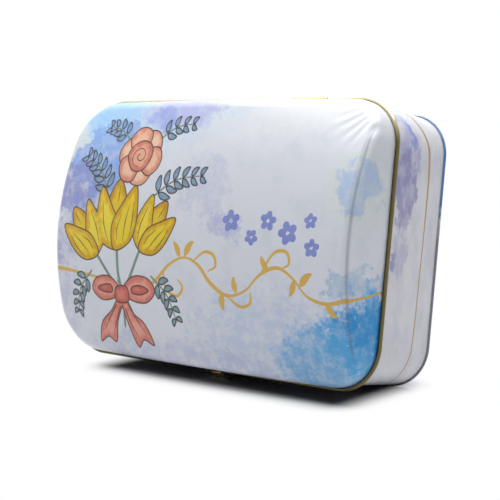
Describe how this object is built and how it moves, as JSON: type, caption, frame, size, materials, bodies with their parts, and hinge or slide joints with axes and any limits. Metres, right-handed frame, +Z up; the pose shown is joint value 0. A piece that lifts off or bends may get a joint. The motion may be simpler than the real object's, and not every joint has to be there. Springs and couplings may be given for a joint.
{
  "type": "hinged gift tin",
  "caption": "Printed tinplate gift box standing on its long side, with a domed hinged lid, rolled gold edge, base bead and wire clasp.",
  "frame": {"origin": "centre of the floor area under the standing tin", "axes": "+X along the long side, +Z up, the domed lid faces -Y and the tin leans back about 9 degrees"},
  "size_m": [0.2, 0.083, 0.1391],
  "materials": {
    "printed_lid": "gloss",
    "printed_wall": "gloss",
    "printed_base": "gloss",
    "gilt_fitting": "satin",
    "steel_wire": "satin"
  },
  "bodies": {
    "tin_body": {"body_wall": "printed_wall", "bottom_panel": "printed_base", "clasp_catch": "gilt_fitting", "hinge_strap_left": "gilt_fitting", "hinge_strap_right": "gilt_fitting"},
    "lid": {"lid_shell": "printed_lid", "hinge_pin_left": "steel_wire", "hinge_pin_right": "steel_wire"},
    "clasp": {"clasp_bail": "steel_wire"}
  },
  "joints": [
    {"name": "lid_hinge", "type": "hinge", "parent": "tin_body", "child": "lid", "pos_m": [0, -0.00162, 0.13798], "axis": [-1, 0, 0], "range_deg": [0, 105]},
    {"name": "clasp_swing", "type": "hinge", "parent": "lid", "child": "clasp", "pos_m": [0, -0.0235, 0.00618], "axis": [-1, 0, 0], "range_deg": [0, 130]}
  ]
}
